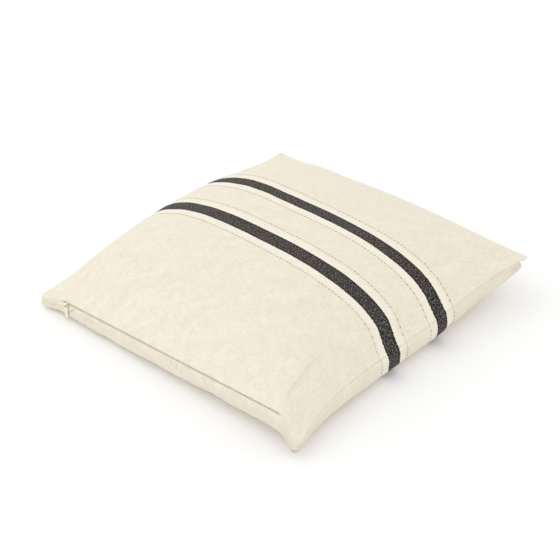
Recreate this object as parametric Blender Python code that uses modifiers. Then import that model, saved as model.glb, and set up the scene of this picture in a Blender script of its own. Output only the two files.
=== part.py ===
"""Throw pillow: a square two-panel linen cover with a concealed coil zip, holding a filled insert.

Units are metres, +Z is up. The zip runs along the -Y edge, the stripes of the cloth run along X.
"""
import math

import bmesh
import bpy
from mathutils import Matrix, Vector

# ---- cover ------------------------------------------------------------------------------------
HALF = 0.245            # corner tip to centre, along X and along Y
CROWN = 0.115           # height of the top of the cushion above the floor
PANEL_T = 0.0008        # thickness of the linen
PIECE_GAP = 0.0003      # clearance left between two pieces that touch on the real cushion
INSET_ZIP = 0.011       # how far the middle of the zip edge is pulled in from the corners
INSET_RIGHT = 0.022
INSET_BACK = 0.013
INSET_LEFT = 0.016
TIP_LEFT = 0.025        # height of the four corner tips, named as the corners of the plan
TIP_FRONT = 0.040
TIP_RIGHT = 0.060
TIP_BACK = 0.042
MID_SEAM = 0.045        # height of the sewn seams at the middle of their edges
FULL_P = 3.0            # fullness of the upper side: higher is flatter on top
FULL_Q = 0.86
UNDER_P = 3.0           # fullness of the lower side
UNDER_Q = 0.72
UNDER_K = 1.30          # above 1 leaves a flat patch where the cushion rests
ZIP_BULGE = 0.004       # how far the lower panel swells out below the zip
CELLS = 24              # cells along each edge of a panel

# ---- zip --------------------------------------------------------------------------------------
ZIP_Y = -0.2240         # centre line of the coils
ZIP_Z = 0.0375
ZIP_TILT = math.radians(3.3)    # the seam climbs towards +X
ZIP_REACH = 0.866       # share of the edge over which the seam runs straight
ZIP_START = -0.203      # closed end of the coils
ZIP_END = 0.197
COIL_PITCH = 0.0025
TOOTH_W = 0.0009
COIL_W = 0.0030
TAPE_W = 0.0120
TAPE_T = 0.0005
LIP_GAP = 0.0018        # slit between the two folded edges of the cover
SLIDER_L = 0.0090
SLIDER_X = ZIP_START + 0.0080
LIP_Y = -HALF + INSET_ZIP - ZIP_Y       # the folded edges, from the coil centre line
HINGE_Y = LIP_Y - 0.0035                # hinge of the pull, from the coil centre line
HINGE_R = 0.00060
BORE_R = 0.00068

# ---- insert -----------------------------------------------------------------------------------
INSERT_X = 0.213
INSERT_Y0 = -0.203
INSERT_Y1 = 0.216
CASING_T = 0.0005

for old in list(bpy.data.objects):
    bpy.data.objects.remove(old, do_unlink=True)

PARTS = bpy.data.collections.new("throw_pillow")
CUTTERS = bpy.data.collections.new("cutters")
bpy.context.scene.collection.children.link(PARTS)
bpy.context.scene.collection.children.link(CUTTERS)

ZIP_FRAME = Matrix.Translation((0.0, ZIP_Y, ZIP_Z)) @ Matrix.Rotation(-ZIP_TILT, 4, "Y")


# ---- helpers ----------------------------------------------------------------------------------
def material(name, colour, rough=0.9, metallic=0.0):
    mat = bpy.data.materials.get(name)
    if mat is None:
        mat = bpy.data.materials.new(name)
        mat.use_nodes = True
        shader = mat.node_tree.nodes["Principled BSDF"]
        shader.inputs["Base Color"].default_value = (*colour, 1.0)
        shader.inputs["Roughness"].default_value = rough
        shader.inputs["Metallic"].default_value = metallic
    return mat


LINEN = (0.83, 0.78, 0.65)
CREAM = (0.80, 0.76, 0.66)
WHITE = (0.86, 0.85, 0.82)
BRASS = (0.62, 0.55, 0.40)


def add_object(name, mesh, colour, rough=0.9, metallic=0.0, cutter=False):
    obj = bpy.data.objects.new(name, mesh)
    (CUTTERS if cutter else PARTS).objects.link(obj)
    if cutter:
        obj.hide_render = True
        obj.display_type = "WIRE"
    else:
        mesh.materials.clear()
        mesh.materials.append(material(name + "_mat", colour, rough, metallic))
    return obj


def box_mesh(name, x0, x1, y0, y1, z0, z1):
    bm = bmesh.new()
    bmesh.ops.create_cube(bm, size=1.0)
    for v in bm.verts:
        v.co = Vector((x0 + (x1 - x0) * (v.co.x + 0.5), y0 + (y1 - y0) * (v.co.y + 0.5),
                       z0 + (z1 - z0) * (v.co.z + 0.5)))
    mesh = bpy.data.meshes.new(name)
    bm.to_mesh(mesh)
    bm.free()
    return mesh


def extruded_outline(name, points, depth):
    """A filled outline in the XY plane of its own, pulled out by depth each way along Z."""
    curve = bpy.data.curves.new(name, "CURVE")
    curve.dimensions = "2D"
    curve.fill_mode = "BOTH"
    curve.extrude = depth
    spline = curve.splines.new("POLY")
    spline.points.add(len(points) - 1)
    for point, (x, y) in zip(spline.points, points):
        point.co = (x, y, 0.0, 1.0)
    spline.use_cyclic_u = True
    return curve_to_mesh(name, curve)


def curve_to_mesh(name, curve):
    temp = bpy.data.objects.new(name + "_curve", curve)
    bpy.context.scene.collection.objects.link(temp)
    deps = bpy.context.evaluated_depsgraph_get()
    mesh = bpy.data.meshes.new_from_object(temp.evaluated_get(deps))
    bpy.data.objects.remove(temp, do_unlink=True)
    bm = bmesh.new()
    bm.from_mesh(mesh)
    bmesh.ops.remove_doubles(bm, verts=bm.verts, dist=0.00001)
    bmesh.ops.recalc_face_normals(bm, faces=bm.faces)
    bm.to_mesh(mesh)
    bm.free()
    mesh.name = name
    return mesh


def thread(name, points, radius, colour, cyclic=False):
    curve = bpy.data.curves.new(name, "CURVE")
    curve.dimensions = "3D"
    curve.bevel_depth = radius
    curve.bevel_resolution = 1
    curve.use_fill_caps = True
    spline = curve.splines.new("POLY")
    spline.points.add(len(points) - 1)
    for point, co in zip(spline.points, points):
        point.co = (*co, 1.0)
    spline.use_cyclic_u = cyclic
    return add_object(name, curve_to_mesh(name, curve), colour)


def in_zip_frame(obj):
    obj.data.transform(ZIP_FRAME)
    return obj


def boolean(obj, other, operation):
    mod = obj.modifiers.new(operation.lower() + "_" + other.name, "BOOLEAN")
    mod.operation = operation
    mod.solver = "EXACT"
    mod.object = other
    return mod


# ---- shape of the cushion ---------------------------------------------------------------------
def zip_line(x):
    return ZIP_Z + math.tan(ZIP_TILT) * x


def edge_zip(s):
    """Height of the zip seam: straight over the zip, then on to the corner tips."""
    tip = TIP_FRONT if s > 0 else TIP_LEFT
    start = zip_line(s * HALF)
    return start + (tip - start) * past_zip(s)


def past_zip(s):
    """0 along the zip, rising to 1 at the corner tips."""
    k = max(0.0, (abs(s) - ZIP_REACH) / (1.0 - ZIP_REACH))
    return k * k * (3 - 2 * k)


def edge_sewn(u, tip0, tip1):
    straight = tip0 + (tip1 - tip0) * (u + 1) / 2
    return straight + (MID_SEAM - (tip0 + tip1) / 2) * (1 - u * u)


def seam_height(s, t):
    low, high = (1 - t) / 2, (1 + t) / 2
    left, right = (1 - s) / 2, (1 + s) / 2
    across = low * edge_zip(s) + high * edge_sewn(s, TIP_BACK, TIP_RIGHT)
    along = left * edge_sewn(t, TIP_LEFT, TIP_BACK) + right * edge_sewn(t, TIP_FRONT, TIP_RIGHT)
    corners = (low * left * TIP_LEFT + low * right * TIP_FRONT
               + high * right * TIP_RIGHT + high * left * TIP_BACK)
    return across + along - corners


def plan(s, t):
    x = HALF * s - INSET_RIGHT * (1 - t * t) * ((1 + s) / 2) ** 2
    x += INSET_LEFT * (1 - t * t) * ((1 - s) / 2) ** 2
    y = HALF * t - INSET_BACK * (1 - s * s) * ((1 + t) / 2) ** 2
    y += INSET_ZIP * (1 - past_zip(s)) * ((1 - t) / 2) ** 2
    return x, y


def fullness(s, t, p, q, k=1.0):
    g = max(0.0, (1 - abs(s) ** p) * (1 - abs(t) ** p))
    return min(1.0, k * g ** q)


def edge_start(t):
    """Height of a panel's outer face above or below the seam line at its edge."""
    return PANEL_T + LIP_GAP / 2 * (1 - t) / 2 + PIECE_GAP / 2 * (1 + t) / 2


def cover_top(s, t):
    x, y = plan(s, t)
    base = seam_height(s, t)
    g = fullness(s, t, FULL_P, FULL_Q)
    return Vector((x, y, (base + edge_start(t)) * (1 - g) + CROWN * g))


def cover_bottom(s, t):
    x, y = plan(s, t)
    base = seam_height(s, t)
    g = fullness(s, t, UNDER_P, UNDER_Q, UNDER_K)
    y -= ZIP_BULGE * 4 * g * (1 - g) * (1 - t) / 2
    return Vector((x, y, (base - edge_start(t)) * (1 - g)))


def insert_point(s, t, crown, floor, shrink, upper):
    """The insert: a smaller pillow, clear of the zip, between the given crown and floor heights."""
    half_y = (INSERT_Y1 - INSERT_Y0) / 2 - shrink
    mid_y = (INSERT_Y1 + INSERT_Y0) / 2
    half_x = INSERT_X - shrink
    x = half_x * s * (1 - 0.06 * (1 - t * t) * abs(s))
    y = mid_y + half_y * t * (1 - 0.05 * (1 - s * s) * abs(t))
    base = seam_height(x / HALF, y / HALF)
    start = PIECE_GAP / 2 + CASING_T
    if upper:
        g = fullness(s, t, FULL_P, FULL_Q)
        return Vector((x, y, (base + start) * (1 - g) + crown * g))
    g = fullness(s, t, UNDER_P, UNDER_Q, UNDER_K)
    return Vector((x, y, (base - start) * (1 - g) + floor * g))


def spacing(u):
    """Grid lines drawn closer together near the seams."""
    return 0.55 * math.sin(u * math.pi / 2) + 0.45 * u


def sheet(name, surface, cells, thickness, upward):
    """A grid laid on a surface, thickened inwards."""
    bm = bmesh.new()
    bmesh.ops.create_grid(bm, x_segments=cells, y_segments=cells, size=1.0)
    for v in bm.verts:
        v.co = surface(spacing(v.co.x), spacing(v.co.y))
    if not upward:
        bmesh.ops.reverse_faces(bm, faces=bm.faces)
    mesh = bpy.data.meshes.new(name)
    bm.to_mesh(mesh)
    bm.free()
    return mesh


def thicken(obj, thickness):
    mod = obj.modifiers.new("cloth_thickness", "SOLIDIFY")
    mod.thickness = thickness
    mod.offset = -1.0
    mod.use_even_offset = False
    return mod


def hem(name, sign):
    """The edge of a panel folded back inside: it clears the slider, then lies on the zip tape."""
    half_gap = LIP_GAP / 2
    inner = [(LIP_Y + 0.0002, half_gap), (-0.0052, half_gap + 0.0002), (-0.0040, 0.0041),
             (0.0043, 0.0041), (0.0064, 0.0019), (0.0128, 0.0019)]
    outer = [(y, z + PANEL_T) for y, z in inner]
    outer[1] = (-0.0058, half_gap + 0.0002 + PANEL_T)
    outer[2] = (-0.0044, 0.0049)
    outer[4] = (0.0068, 0.0019 + PANEL_T)
    outline = inner + outer[::-1]
    mesh = extruded_outline(name, [(y, sign * z) for y, z in outline], 0.5)
    length = ZIP_END - ZIP_START + 0.006
    centre = (ZIP_END + ZIP_START) / 2
    for v in mesh.vertices:
        y, z, x = v.co
        v.co = (centre + x * length, y, z)
    mesh.transform(ZIP_FRAME)
    bm = bmesh.new()
    bm.from_mesh(mesh)
    bmesh.ops.recalc_face_normals(bm, faces=bm.faces)
    bm.to_mesh(mesh)
    bm.free()
    return add_object(name, mesh, LINEN, cutter=True)


# ---- cover panels -----------------------------------------------------------------------------
front = add_object("cover_front_panel", sheet("cover_front_panel", cover_top, CELLS, PANEL_T, True),
                   LINEN)
thicken(front, PANEL_T)
boolean(front, hem("hem_front", 1), "UNION")

back = add_object("cover_back_panel", sheet("cover_back_panel", cover_bottom, CELLS, PANEL_T, False),
                  LINEN)
thicken(back, PANEL_T)
boolean(back, hem("hem_back", -1), "UNION")

# overlocked seam along the three sewn edges, just inside the cover, cutting the corners short
SEAM_IN = 0.977
steps = [i / 12 for i in range(-12, 13)]
inner_steps = [i / 12 for i in range(-11, 12)]


def seam_point(s, t):
    x, y = plan(s, t)
    return (x, y, seam_height(s, t))


path = [seam_point(-SEAM_IN, t) for t in inner_steps if t > -0.9]
path += [seam_point(s, SEAM_IN) for s in inner_steps]
path += [seam_point(SEAM_IN, t) for t in reversed(inner_steps) if t > -0.9]
thread("side_seam_thread", path, 0.0004, CREAM)

# ---- zip --------------------------------------------------------------------------------------
def comb(name, sign, phase):
    """One coil of the zip as a toothed strip; the two interleave with a small clearance."""
    base_in, base_out, tip = 0.0009, 0.0020, -0.0006
    count = int((ZIP_END - ZIP_START) / COIL_PITCH) - 1
    points = [(ZIP_START, base_out), (ZIP_START, base_in)]
    for i in range(count):
        x = ZIP_START + (i + 0.5) * COIL_PITCH + phase
        points += [(x, base_in), (x + 0.0001, tip), (x + TOOTH_W - 0.0001, tip), (x + TOOTH_W, base_in)]
    points += [(ZIP_END, base_in), (ZIP_END, base_out)]
    mesh = extruded_outline(name, points, COIL_W / 2)
    for v in mesh.vertices:
        x, z, y = v.co
        v.co = (x, y, sign * z)
    bm = bmesh.new()
    bm.from_mesh(mesh)
    bmesh.ops.recalc_face_normals(bm, faces=bm.faces)
    bm.to_mesh(mesh)
    bm.free()
    return in_zip_frame(add_object(name, mesh, WHITE, 0.5))


comb("zip_coil_front", 1, 0.0)
comb("zip_coil_back", -1, COIL_PITCH / 2)

TAPE_Y = COIL_W / 2 + PIECE_GAP
for side, sign in (("front", 1), ("back", -1)):
    low, high = sorted((sign * 0.0010, sign * (0.0010 + TAPE_T)))
    tape = add_object("zip_tape_" + side,
                      box_mesh("zip_tape_" + side, ZIP_START - 0.006, ZIP_END + 0.006,
                               TAPE_Y, TAPE_Y + TAPE_W, low, high), CREAM)
    in_zip_frame(tape)
    # the row of stitches that holds the folded edge of the panel to the tape
    height = sign * (0.0019 + PANEL_T + 0.0006)
    ends = [ZIP_FRAME @ Vector((x, 0.0098, height)) for x in (ZIP_START + 0.002, ZIP_END - 0.002)]
    thread("zip_stitching_" + side, ends, 0.0002, CREAM)
    stop_low, stop_high = sorted((sign * 0.00015, sign * 0.0021))
    stop = add_object("zip_top_stop_" + side,
                      box_mesh("zip_top_stop_" + side, ZIP_START - 0.0035, ZIP_START - PIECE_GAP,
                               -0.0014, 0.0014, stop_low, stop_high), BRASS, 0.35, 1.0)
    bevel = stop.modifiers.new("edge", "BEVEL")
    bevel.width = 0.0003
    bevel.segments = 2
    in_zip_frame(stop)

bottom_stop = add_object("zip_bottom_stop",
                         box_mesh("zip_bottom_stop", ZIP_END + PIECE_GAP, ZIP_END + 0.0036,
                                  -0.0017, 0.0014, -0.0023, 0.0023), BRASS, 0.35, 1.0)
bevel = bottom_stop.modifiers.new("edge", "BEVEL")
bevel.width = 0.0004
bevel.segments = 2
in_zip_frame(bottom_stop)


def slider_body():
    """A channel closed on the outside, round both coils and open inwards for the tapes."""
    channel = [(-0.0030, -0.0029), (-0.0025, -0.0034), (0.0032, -0.0034), (0.0032, -0.0024),
               (-0.0019, -0.0024), (-0.0019, 0.0024), (0.0032, 0.0024), (0.0032, 0.0034),
               (-0.0025, 0.0034), (-0.0030, 0.0029)]
    mesh = extruded_outline("zip_slider", channel, SLIDER_L / 2)
    for v in mesh.vertices:
        y, z, x = v.co
        v.co = (SLIDER_X + x, y, z)
    bm = bmesh.new()
    bm.from_mesh(mesh)
    bmesh.ops.recalc_face_normals(bm, faces=bm.faces)
    bm.to_mesh(mesh)
    bm.free()
    return mesh


slider = add_object("zip_slider", slider_body(), BRASS, 0.35, 1.0)
neck = add_object("slider_neck", box_mesh("slider_neck", SLIDER_X - 0.0019, SLIDER_X + 0.0019,
                                          HINGE_Y - 0.0002, -0.0027, -0.0005, 0.0005), BRASS, cutter=True)


def cylinder(name, radius, x0, x1, y, z, sides):
    bm = bmesh.new()
    bmesh.ops.create_cone(bm, cap_ends=True, cap_tris=False, segments=sides, radius1=radius,
                          radius2=radius, depth=x1 - x0)
    turn = Matrix.Translation(((x0 + x1) / 2, y, z)) @ Matrix.Rotation(math.pi / 2, 4, "Y")
    bmesh.ops.transform(bm, matrix=turn, verts=bm.verts)
    mesh = bpy.data.meshes.new(name)
    bm.to_mesh(mesh)
    bm.free()
    return mesh


knuckle = add_object("slider_knuckle", cylinder("slider_knuckle", 0.0014, SLIDER_X - 0.0022,
                                                SLIDER_X + 0.0022, HINGE_Y, 0.0, 24), BRASS, cutter=True)
bore = add_object("slider_bore", cylinder("slider_bore", BORE_R, SLIDER_X - 0.004, SLIDER_X + 0.004,
                                          HINGE_Y, 0.0, 24), BRASS, cutter=True)
for piece in (slider, neck, knuckle, bore):
    in_zip_frame(piece)
boolean(slider, neck, "UNION")
boolean(slider, knuckle, "UNION")
boolean(slider, bore, "DIFFERENCE")


def pull():
    """A wire eye through the slider's knuckle, and a flat tab hanging from it."""
    leg = 0.0032
    drop = 0.0045
    pin = add_object("zip_pull", cylinder("zip_pull", HINGE_R, SLIDER_X - leg - HINGE_R,
                                          SLIDER_X + leg + HINGE_R, HINGE_Y, 0.0, 24), BRASS, 0.35, 1.0)
    for side in (-1, 1):
        x = SLIDER_X + side * leg
        arm = add_object("pull_arm_" + ("a" if side < 0 else "b"),
                         box_mesh("pull_arm", x - HINGE_R, x + HINGE_R, HINGE_Y - HINGE_R,
                                  HINGE_Y + HINGE_R, -drop - 0.001, 0.0001), BRASS, cutter=True)
        in_zip_frame(arm)
        boolean(pin, arm, "UNION")
    half = 0.0039
    tip = drop + 0.0170
    outline = [(-half, -drop), (half, -drop), (half - 0.0008, -tip + 0.0020)]
    outline += [((half - 0.0008) * math.cos(a), -tip + 0.0020 - 0.0020 * math.sin(a))
                for a in (0.5, 1.0, 1.57, 2.14, 2.64)]
    outline += [(-half + 0.0008, -tip + 0.0020)]
    mesh = extruded_outline("pull_tab", outline, HINGE_R)
    for v in mesh.vertices:
        x, z, y = v.co
        v.co = (SLIDER_X + x, HINGE_Y + y, z)
    bm = bmesh.new()
    bm.from_mesh(mesh)
    bmesh.ops.recalc_face_normals(bm, faces=bm.faces)
    bm.to_mesh(mesh)
    bm.free()
    tab = in_zip_frame(add_object("pull_tab", mesh, BRASS, cutter=True))
    in_zip_frame(pin)
    boolean(pin, tab, "UNION")
    return pin


pull()

# ---- insert -----------------------------------------------------------------------------------
CASING_TOP = CROWN - PANEL_T - 0.0015
CASING_LOW = PANEL_T + 0.0006

casing_front = add_object("insert_casing_front", sheet(
    "insert_casing_front", lambda s, t: insert_point(s, t, CASING_TOP, 0.0, 0.0, True),
    16, CASING_T, True), WHITE)
thicken(casing_front, CASING_T)
casing_back = add_object("insert_casing_back", sheet(
    "insert_casing_back", lambda s, t: insert_point(s, t, 0.0, CASING_LOW, 0.0, False),
    16, CASING_T, False), WHITE)
thicken(casing_back, CASING_T)


def filling():
    """The fibre ball filling as one soft lens a little inside the casing."""
    bm = bmesh.new()
    cells = 16
    bmesh.ops.create_grid(bm, x_segments=cells, y_segments=cells, size=1.0)
    top = list(bm.verts)
    made = bmesh.ops.extrude_face_region(bm, geom=list(bm.faces))["geom"]
    low = [v for v in made if isinstance(v, bmesh.types.BMVert)]
    crown, floor = CASING_TOP - CASING_T - 0.0016, CASING_LOW + CASING_T + 0.0012
    inward = 0.012
    for v in top:
        v.co = insert_point(v.co.x, v.co.y, crown, floor, inward, True)
    for v in low:
        v.co = insert_point(v.co.x, v.co.y, crown, floor, inward, False)
    bmesh.ops.recalc_face_normals(bm, faces=bm.faces)
    mesh = bpy.data.meshes.new("insert_filling")
    bm.to_mesh(mesh)
    bm.free()
    return add_object("insert_filling", mesh, WHITE)


filling()

# stitching round the insert's own seam, just outside the casing's edge
edge = [(s, -1) for s in steps[:-1]] + [(1, t) for t in steps[:-1]]
edge += [(s, 1) for s in reversed(steps[1:])] + [(-1, t) for t in reversed(steps[1:])]
ring = []
for s, t in edge:
    p = insert_point(s, t, CASING_TOP, CASING_LOW, -0.0012, True)
    ring.append((p.x, p.y, p.z))
thread("insert_seam_thread", ring, 0.0004, WHITE, cyclic=True)


def label(name, x, y, z, width, depth, lift, colour):
    """A folded blank label, caught in a seam at one end and lying inwards along X."""
    mesh = box_mesh(name, 0.0, depth, -width / 2, width / 2, -0.00015, 0.00015)
    mesh.transform(Matrix.Translation((x, y, z)) @ Matrix.Rotation(lift, 4, "Y"))
    return add_object(name, mesh, colour)


label("care_label", 0.2165, 0.060, 0.0470, 0.022, 0.0026, 0.0, WHITE)
label("insert_label", -0.2165, 0.090, 0.0470, 0.022, 0.0026, 0.0, WHITE)
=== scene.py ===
"""Looks for the throw pillow: linen cover, concealed zip and insert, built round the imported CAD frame.

Everything is in metres in the frame of the CAD: +Z up, X along the stripes, the zip on the -Y edge.
The cover is drawn in cloth coordinates: s runs along X and t along Y, both from -1 to 1.
"""
import math

import bpy
import numpy as np
from mathutils import Matrix, Vector


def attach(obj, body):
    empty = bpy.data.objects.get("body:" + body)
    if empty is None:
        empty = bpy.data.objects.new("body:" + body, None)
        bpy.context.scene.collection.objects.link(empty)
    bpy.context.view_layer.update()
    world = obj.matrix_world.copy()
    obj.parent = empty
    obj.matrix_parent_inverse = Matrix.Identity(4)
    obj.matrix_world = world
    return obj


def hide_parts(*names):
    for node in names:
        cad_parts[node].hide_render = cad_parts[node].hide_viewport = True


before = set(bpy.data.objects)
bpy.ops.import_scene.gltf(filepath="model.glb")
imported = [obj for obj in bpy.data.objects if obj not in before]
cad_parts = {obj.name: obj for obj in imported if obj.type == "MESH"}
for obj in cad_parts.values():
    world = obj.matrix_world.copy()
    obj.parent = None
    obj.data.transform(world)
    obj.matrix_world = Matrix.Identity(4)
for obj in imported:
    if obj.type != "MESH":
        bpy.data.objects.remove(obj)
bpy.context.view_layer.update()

# ---- camera -------------------------------------------------------------------------------------
CAM_AZ = math.radians(42.46)
CAM_EL = math.radians(34.23)
CAM_DIST = 2.078
CAM_AIM_RIGHT, CAM_AIM_UP, CAM_AIM_Z = -0.0084, 0.0141, 0.020
CAM_LENS = 36.0 * 1481.2 / 560.0

# ---- shape of the filled cover ------------------------------------------------------------------
CLOTH = 0.25                    # half of the flat cover
HALF = 0.245                    # half of the filled cover, corner tip to middle
CROWN = 0.1168                  # top of the cushion
CORNER_R = 0.009                # turned corners are this round
LINEN_T = 0.0006
PANEL_T = 0.0008
SLIT = 0.00062                  # half of the slit that the slider's neck runs in
TIP = {"left": (-0.2490, -0.2405, 0.0166), "front": (0.2378, -0.2400, 0.0180),
       "right": (0.2400, 0.2422, 0.0634), "back": (-0.2423, 0.2535, 0.0439)}
# at a quarter, a half and three quarters of each sewn edge, along +X or +Y
SEAM_Z = {"right": (0.041, 0.040, 0.054), "back": (0.053, 0.063, 0.065), "left": (0.037, 0.054, 0.052)}
PULL_IN = {"right": (0.019, 0.0220, 0.0155), "back": (0.002, 0.003, 0.003), "left": (0.003, 0.003, 0.005)}
# from one end of each edge to the other: how far the underside swells out past the seam, and how far
# it runs in before it rests on the ground, as a share of the seam's height
SWELL = {"front": (0.0015, 0.0075, 0.0070, 0.0062, 0.0095),
         "right": (0.0022, 0.0072, 0.0080, 0.0050, -0.001),
         "back": (0.003, 0.003, 0.003), "left": (0.003, 0.003, 0.003)}
RUN = {"front": (0.60, 0.48, 0.79, 0.80, 0.97), "right": (0.86, 0.68, 0.52, 0.92, 0.88),
       "back": (1.0, 1.0, 1.0), "left": (0.9, 0.9, 0.9)}
# fullness of the top towards each edge: the first is higher for a flatter top, the second lower for a
# steeper rise from the seam
FULL = {"front": (3.0, 0.93), "right": (3.6, 1.0), "back": (3.0, 0.94), "left": (3.0, 0.83)}
# how the underside falls away from each seam: the lower, the steeper at the seam
DROP = {"front": 0.95, "right": 1.0, "back": 1.1, "left": 1.1}
LIP_Y = -0.2340                 # the slit over the zip
ZIP_Y, ZIP_Z, ZIP_SLOPE = -0.2240, 0.0375, math.tan(math.radians(3.3))
ZIP_REACH = (0.795, 0.838)      # where the straight slit ends, to the left and to the right, along s
ZIP_CLOSE = 0.018               # and how much further on it has closed
PULL_Y = -0.2366                # just behind the pull, which hangs in front of the underside
FLOOR_GAP = 0.0002              # the underside rests this far off the floor

# ---- pattern of the cloth, in metres along t from the middle ------------------------------------
BANDS = ((-0.0453, -0.0208), (0.0580, 0.0788))
PICK_LINES = (-0.0600, -0.0050, 0.0440, 0.0935)


def smooth(x, a=0.0, b=1.0):
    k = np.clip((x - a) / (b - a), 0.0, 1.0)
    return k * k * (3 - 2 * k)


def along(u, stations):
    """A smooth curve through values evenly spaced from -1 to 1."""
    n = len(stations)
    return np.polyval(np.polyfit(np.linspace(-1, 1, n), stations, n - 1), u)


def ripples(u, v, size, seed, waves=10):
    """Smooth seeded noise, about -1 to 1, with features of about the given size in metres."""
    rng = np.random.RandomState(seed)
    total = np.zeros(np.broadcast(u, v).shape)
    for _ in range(waves):
        a = rng.uniform(0, 2 * math.pi)
        k = 2 * math.pi / (size * rng.uniform(1.2, 3.2))
        total = total + np.sin(k * (u * math.cos(a) + v * math.sin(a)) + rng.uniform(0, 2 * math.pi))
    return total / math.sqrt(waves) / 1.2


def past_zip(s):
    return smooth(np.abs(s), np.where(s < 0, *ZIP_REACH), 1.0)


def rounded(s, t):
    """Bends the square's corners into quarter circles."""
    r = CORNER_R / CLOTH
    p, q = (np.clip((np.abs(c) - (1 - r)) / r, 0, 1.4) for c in (s, t))
    both = (p > 0) & (q > 0)
    p2 = np.where(both, p * np.sqrt(np.clip(1 - q * q / 2, 0, 1)), p)
    q2 = np.where(both, q * np.sqrt(np.clip(1 - p * p / 2, 0, 1)), q)
    return (np.where(p > 0, np.sign(s) * (1 - r + r * p2), s),
            np.where(q > 0, np.sign(t) * (1 - r + r * q2), t))


def shares(s, t):
    """Weights of the low, high, left and right edges."""
    return (1 - t) / 2, (1 + t) / 2, (1 - s) / 2, (1 + s) / 2


def seam_plan(s, t):
    s, t = rounded(s, t)
    low, high, left, right = shares(s, t)
    weights = {"left": low * left, "front": low * right, "right": high * right, "back": high * left}
    x = sum(w * TIP[name][0] for name, w in weights.items())
    y = sum(w * TIP[name][1] for name, w in weights.items())
    u, v = np.clip(s, -1, 1), np.clip(t, -1, 1)
    x = x - along(v, (0, *PULL_IN["right"], 0)) * right ** 2
    x = x + along(v, (0, *PULL_IN["left"], 0)) * left ** 2
    y = y - along(u, (0, *PULL_IN["back"], 0)) * high ** 2
    chord = left * TIP["left"][1] + right * TIP["front"][1]
    return x, y + (LIP_Y - chord) * (1 - past_zip(s)) * low ** 2


def edge_height(name, u):
    """Height of the seam along one edge."""
    zl, zf, zr, zb = (TIP[n][2] for n in ("left", "front", "right", "back"))
    if name == "front":
        line = ZIP_Z + ZIP_SLOPE * u * HALF
        return line + (np.where(u > 0, zf, zl) - line) * past_zip(u)
    ends = {"right": (zf, zr), "back": (zb, zr), "left": (zl, zb)}[name]
    return along(u, (ends[0], *SEAM_Z[name], ends[1]))


def seam_height(s, t):
    low, high, left, right = shares(s, t)
    corners = (low * left * TIP["left"][2] + low * right * TIP["front"][2]
               + high * right * TIP["right"][2] + high * left * TIP["back"][2])
    return (low * edge_height("front", s) + high * edge_height("back", s)
            + left * edge_height("left", t) + right * edge_height("right", t) - corners)


def edge_start(s, t):
    """Half of the distance between the two panels' outer faces at the seam."""
    reach = np.where(s < 0, *ZIP_REACH)
    zip_share = (1 - smooth(np.abs(s), reach, reach + ZIP_CLOSE)) * smooth(-t, 0.5, 1.0)
    return 0.0001 + (SLIT + PANEL_T - 0.0001) * zip_share


def fullness(s, t):
    share = 1.0
    for c, low, high in ((s, "left", "right"), (t, "front", "back")):
        p, q = (np.where(c < 0, FULL[low][i], FULL[high][i]) for i in (0, 1))
        share = share * np.clip(1 - np.abs(c) ** p, 0, 1) ** q
    return share


def front_shape(s, t):
    x, y = seam_plan(s, t)
    g = fullness(s, t)
    return np.stack([x, y, (seam_height(s, t) + edge_start(s, t)) * (1 - g) + CROWN * g], -1)


def under_side(u, across, low_name, high_name):
    """Where the underside has got to, on its way in from two opposite edges: (coordinate, drop 0 to 1)."""
    out, drop = u, np.ones_like(u)
    for sign, name in ((-1, low_name), (1, high_name)):
        height = edge_height(name, across)
        swell = along(across, SWELL[name]) * smooth(1 - np.abs(across), -0.02, 0.06)
        run = along(across, RUN[name]) * height
        length = 1.15 * height + 0.45 * run + 0.004
        e = (1 - np.abs(u)) * CLOTH
        k = np.clip(e / length, 0, 1)
        turn = k * math.pi / 2
        inset = run * (1 - np.cos(turn)) - swell * np.sin(math.pi * np.minimum(1, k * 1.25))
        rest = run + (e - length) * (HALF - run) / (CLOTH - length)
        plan = np.where(e < length, inset, rest)
        on = u * sign > 0
        out = np.where(on, sign * (1 - plan / HALF), out)
        drop = np.where(on, np.sin(turn) ** DROP[name], drop)
    return out, drop


def lesser(a, b, k=3.0):
    """The smaller of two drops from 0 to 1, blended; a higher k fills the corners more."""
    a, b = np.maximum(a, 1e-6), np.maximum(b, 1e-6)
    return (a ** -k + b ** -k - 1) ** (-1 / k)


def back_shape(s, t):
    s_in, s_drop = under_side(s, t, "left", "right")
    t_in, t_drop = under_side(t, s, "front", "back")
    # down the right and left walls the cloth keeps its place, and underneath it creeps little by little
    corner = smooth(np.abs(t), 0.60, 0.92)
    creep = corner * smooth(s_drop, 0.0, 0.5) + (1 - corner) * smooth(1 - np.abs(s), 0.18, 0.80)
    s_in = s + (s_in - s) * smooth(t_drop, 0.0, 0.5)
    t_in = t + (t_in - t) * creep
    x, y = seam_plan(s_in, t_in)
    base = seam_height(np.clip(s_in, -1, 1), np.clip(t_in, -1, 1)) - edge_start(s, t)
    g = lesser(s_drop, t_drop, 3.0 - 2.4 * smooth(t, 0.2, 0.9))
    return np.stack([x, y, base * (1 - g) + 2 * FLOOR_GAP * g], -1)


def edge_distance(s, t):
    """Cloth distance in metres to each edge: front, right, back, left."""
    return (1 + t) * CLOTH, (1 - s) * CLOTH, (1 - t) * CLOTH, (1 + s) * CLOTH


# size and spacing of the unevenness of the cloth, in metres
SLACK, SLACK_SIZE = 0.0008, 0.075
RUMPLE, RUMPLE_SIZE = 0.00025, 0.028
CORNER_FOLD, CORNER_FADE = 0.0009, 0.045
PUCKER_SIZE = 0.0065
PUCKER = {"front": 0.0008, "right": 0.0003, "back": 0.0004, "left": 0.0004}
PUCKER_FADE = {"front": 0.014, "right": 0.012, "back": 0.012, "left": 0.012}
ZIP_PUCKER, ZIP_PUCKER_FADE = 0.0040, 0.013      # those of the underside, below the zip
GROOVE = 0.0003


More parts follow.
